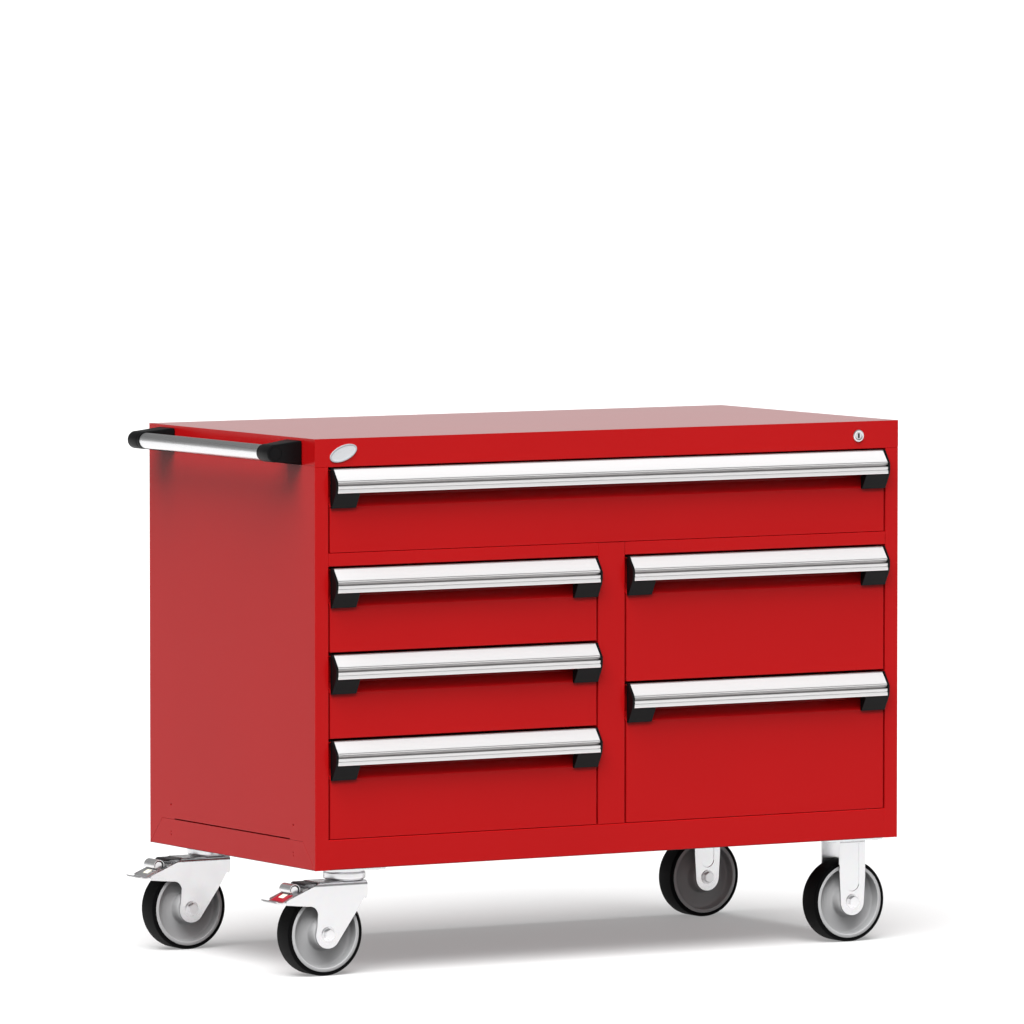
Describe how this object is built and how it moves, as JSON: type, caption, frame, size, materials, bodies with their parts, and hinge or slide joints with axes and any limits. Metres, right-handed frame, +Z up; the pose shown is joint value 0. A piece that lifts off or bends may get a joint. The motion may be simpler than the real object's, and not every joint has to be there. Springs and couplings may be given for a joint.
{
  "type": "mobile drawer workbench",
  "caption": "Mobile sheet-metal workbench: a wide top drawer over two columns of drawers, push handle at one end, fixed and braked swivel casters.",
  "frame": {"origin": "on the floor, under the centre of the whole outline including the push handle and drawer pulls", "axes": "+Z up, front with the drawers faces -Y, push handle and swivel casters at the -X end"},
  "size_m": [1.289, 0.6316, 0.9525],
  "materials": {
    "red_paint": "semi-gloss powder coat",
    "pull_aluminium": "satin anodised",
    "handle_tube": "satin anodised",
    "zinc": "bright zinc plate",
    "steel": "nickel plate",
    "black_plastic": "fine moulded texture",
    "wheel_grey": "moulded nylon",
    "tyre": "smooth solid rubber",
    "pedal_red": "moulded",
    "badge": "domed"
  },
  "bodies": {
    "root": {"side_left": "red_paint", "side_right": "red_paint", "back_panel": "red_paint", "worktop": "red_paint", "base": "red_paint", "cross_rail": "red_paint", "centre_partition": "red_paint", "lock_cylinder": "steel", "badge": "badge", "push_handle_tube": "handle_tube", "push_handle_bracket_front": "black_plastic", "push_handle_bracket_back": "black_plastic", "caster_front_left_plate": "zinc", "caster_front_right_fork": "zinc", "caster_front_right_axle": "steel", "caster_back_left_plate": "zinc", "caster_back_right_fork": "zinc", "caster_back_right_axle": "steel"},
    "drawer_top": {"drawer_top_body": "red_paint", "drawer_top_pull": "pull_aluminium"},
    "drawer_top_carriage": {"drawer_top_slide_left": "zinc", "drawer_top_slide_right": "zinc"},
    "drawer_left_1": {"drawer_left_1_body": "red_paint", "drawer_left_1_pull": "pull_aluminium"},
    "drawer_left_1_carriage": {"drawer_left_1_slide_left": "zinc", "drawer_left_1_slide_right": "zinc"},
    "drawer_left_2": {"drawer_left_2_body": "red_paint", "drawer_left_2_pull": "pull_aluminium"},
    "drawer_left_2_carriage": {"drawer_left_2_slide_left": "zinc", "drawer_left_2_slide_right": "zinc"},
    "drawer_left_3": {"drawer_left_3_body": "red_paint", "drawer_left_3_pull": "pull_aluminium"},
    "drawer_left_3_carriage": {"drawer_left_3_slide_left": "zinc", "drawer_left_3_slide_right": "zinc"},
    "drawer_right_1": {"drawer_right_1_body": "red_paint", "drawer_right_1_pull": "pull_aluminium"},
    "drawer_right_1_carriage": {"drawer_right_1_slide_left": "zinc", "drawer_right_1_slide_right": "zinc"},
    "drawer_right_2": {"drawer_right_2_body": "red_paint", "drawer_right_2_pull": "pull_aluminium"},
    "drawer_right_2_carriage": {"drawer_right_2_slide_left": "zinc", "drawer_right_2_slide_right": "zinc"},
    "caster_front_left_swivel": {"caster_front_left_fork": "zinc", "caster_front_left_axle": "steel"},
    "caster_front_left_wheel": {"caster_front_left_wheel": "wheel_grey", "caster_front_left_tyre": "tyre"},
    "caster_front_left_pedal": {"caster_front_left_brake_pedal": "pedal_red"},
    "caster_front_right_wheel": {"caster_front_right_wheel": "wheel_grey", "caster_front_right_tyre": "tyre"},
    "caster_back_left_swivel": {"caster_back_left_fork": "zinc", "caster_back_left_axle": "steel"},
    "caster_back_left_wheel": {"caster_back_left_wheel": "wheel_grey", "caster_back_left_tyre": "tyre"},
    "caster_back_left_pedal": {"caster_back_left_brake_pedal": "pedal_red"},
    "caster_back_right_wheel": {"caster_back_right_wheel": "wheel_grey", "caster_back_right_tyre": "tyre"},
    "lock_plug": {"lock_plug": "steel"}
  },
  "joints": [
    {"name": "drawer_top_slide", "type": "slide", "parent": "root", "child": "drawer_top", "axis": [0, -1, 0], "range_m": [0, 0.54]},
    {"name": "drawer_top_carriage_slide", "type": "slide", "parent": "root", "child": "drawer_top_carriage", "axis": [0, -1, 0], "range_m": [0, 0.27]},
    {"name": "drawer_left_1_slide", "type": "slide", "parent": "root", "child": "drawer_left_1", "axis": [0, -1, 0], "range_m": [0, 0.54]},
    {"name": "drawer_left_1_carriage_slide", "type": "slide", "parent": "root", "child": "drawer_left_1_carriage", "axis": [0, -1, 0], "range_m": [0, 0.27]},
    {"name": "drawer_left_2_slide", "type": "slide", "parent": "root", "child": "drawer_left_2", "axis": [0, -1, 0], "range_m": [0, 0.54]},
    {"name": "drawer_left_2_carriage_slide", "type": "slide", "parent": "root", "child": "drawer_left_2_carriage", "axis": [0, -1, 0], "range_m": [0, 0.27]},
    {"name": "drawer_left_3_slide", "type": "slide", "parent": "root", "child": "drawer_left_3", "axis": [0, -1, 0], "range_m": [0, 0.54]},
    {"name": "drawer_left_3_carriage_slide", "type": "slide", "parent": "root", "child": "drawer_left_3_carriage", "axis": [0, -1, 0], "range_m": [0, 0.27]},
    {"name": "drawer_right_1_slide", "type": "slide", "parent": "root", "child": "drawer_right_1", "axis": [0, -1, 0], "range_m": [0, 0.54]},
    {"name": "drawer_right_1_carriage_slide", "type": "slide", "parent": "root", "child": "drawer_right_1_carriage", "axis": [0, -1, 0], "range_m": [0, 0.27]},
    {"name": "drawer_right_2_slide", "type": "slide", "parent": "root", "child": "drawer_right_2", "axis": [0, -1, 0], "range_m": [0, 0.54]},
    {"name": "drawer_right_2_carriage_slide", "type": "slide", "parent": "root", "child": "drawer_right_2_carriage", "axis": [0, -1, 0], "range_m": [0, 0.27]},
    {"name": "caster_front_left_swivel_turn", "type": "hinge", "parent": "root", "child": "caster_front_left_swivel", "pos_m": [-0.4854, -0.2398, 0.1605], "axis": [0, 0, 1], "continuous": true},
    {"name": "caster_front_left_wheel_roll", "type": "hinge", "parent": "caster_front_left_swivel", "child": "caster_front_left_wheel", "pos_m": [-0.5362, -0.2398, 0.075], "axis": [0, 1, 0], "continuous": true},
    {"name": "caster_front_left_pedal_lift", "type": "hinge", "parent": "caster_front_left_swivel", "child": "caster_front_left_pedal", "pos_m": [-0.5772, -0.2398, 0.1525], "axis": [0, 1, 0], "range_deg": [0, 18]},
    {"name": "caster_front_right_wheel_roll", "type": "hinge", "parent": "root", "child": "caster_front_right_wheel", "pos_m": [0.5621, -0.2398, 0.075], "axis": [0, 1, 0], "continuous": true},
    {"name": "caster_back_left_swivel_turn", "type": "hinge", "parent": "root", "child": "caster_back_left_swivel", "pos_m": [-0.4854, 0.2618, 0.1605], "axis": [0, 0, 1], "continuous": true},
    {"name": "caster_back_left_wheel_roll", "type": "hinge", "parent": "caster_back_left_swivel", "child": "caster_back_left_wheel", "pos_m": [-0.5362, 0.2618, 0.075], "axis": [0, 1, 0], "continuous": true},
    {"name": "caster_back_left_pedal_lift", "type": "hinge", "parent": "caster_back_left_swivel", "child": "caster_back_left_pedal", "pos_m": [-0.5772, 0.2618, 0.1525], "axis": [0, 1, 0], "range_deg": [0, 18]},
    {"name": "caster_back_right_wheel_roll", "type": "hinge", "parent": "root", "child": "caster_back_right_wheel", "pos_m": [0.5621, 0.2618, 0.075], "axis": [0, 1, 0], "continuous": true},
    {"name": "lock_turn", "type": "hinge", "parent": "root", "child": "lock_plug", "pos_m": [0.5581, -0.2938, 0.9266], "axis": [0, -1, 0], "range_deg": [0, 90]}
  ],
  "couplings": [
    {"joint": "drawer_top_carriage_slide", "follows": "drawer_top_slide", "ratio": 0.5},
    {"joint": "drawer_left_1_carriage_slide", "follows": "drawer_left_1_slide", "ratio": 0.5},
    {"joint": "drawer_left_2_carriage_slide", "follows": "drawer_left_2_slide", "ratio": 0.5},
    {"joint": "drawer_left_3_carriage_slide", "follows": "drawer_left_3_slide", "ratio": 0.5},
    {"joint": "drawer_right_1_carriage_slide", "follows": "drawer_right_1_slide", "ratio": 0.5},
    {"joint": "drawer_right_2_carriage_slide", "follows": "drawer_right_2_slide", "ratio": 0.5}
  ]
}
